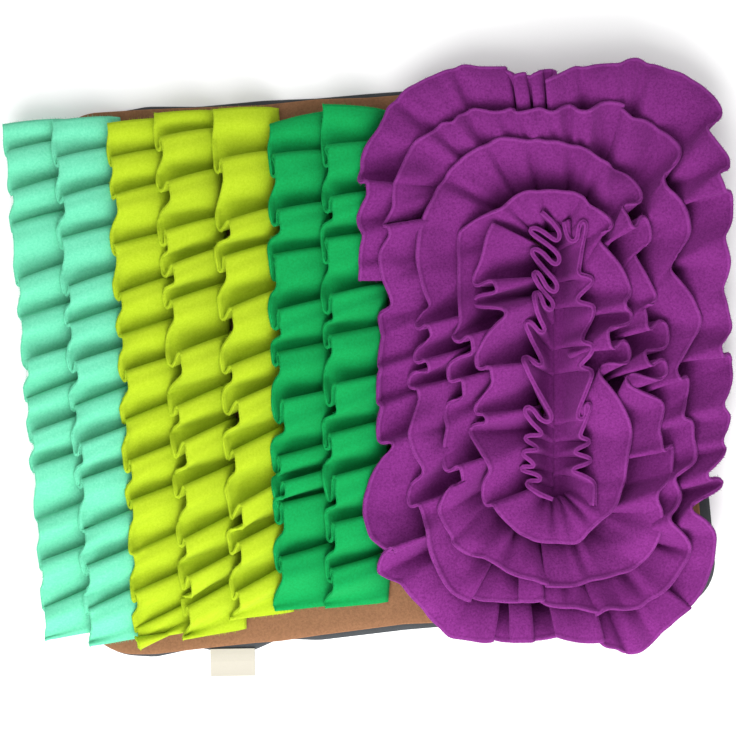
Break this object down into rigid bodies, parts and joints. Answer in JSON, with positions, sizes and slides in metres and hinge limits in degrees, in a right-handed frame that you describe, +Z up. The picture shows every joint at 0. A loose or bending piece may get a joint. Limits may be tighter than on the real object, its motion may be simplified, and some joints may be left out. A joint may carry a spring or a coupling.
{
  "type": "snuffle mat",
  "caption": "Rectangular fleece snuffle mat: straight knife-pleated ruffles on one side, an oval spiral of upright ruffles on the other, on a thin backed pad.",
  "frame": {"origin": "on the surface that the mat lies on, under the middle of the pad", "axes": "+X along the pad's long side, from the straight ruffles to the spiral, +Z up, out of the ruffled face"},
  "size_m": [0.6834, 0.5559, 0.0693],
  "materials": {
    "backing_cloth": "coated plain weave",
    "brown_fleece": "short brushed pile",
    "label_tape": "smooth woven tape",
    "mint_fleece": "brushed fleece",
    "lime_fleece": "brushed fleece",
    "green_fleece": "brushed fleece",
    "purple_fleece": "brushed fleece"
  },
  "bodies": {
    "root": {"pad_backing": "backing_cloth", "pad_top": "brown_fleece", "label": "label_tape", "mint_ruffle_1": "mint_fleece", "mint_ruffle_2": "mint_fleece", "lime_ruffle_1": "lime_fleece", "lime_ruffle_2": "lime_fleece", "lime_ruffle_3": "lime_fleece", "green_ruffle_1": "green_fleece", "green_ruffle_2": "green_fleece", "spiral_ruffle": "purple_fleece", "centre_ruffle": "purple_fleece"}
  },
  "joints": []
}
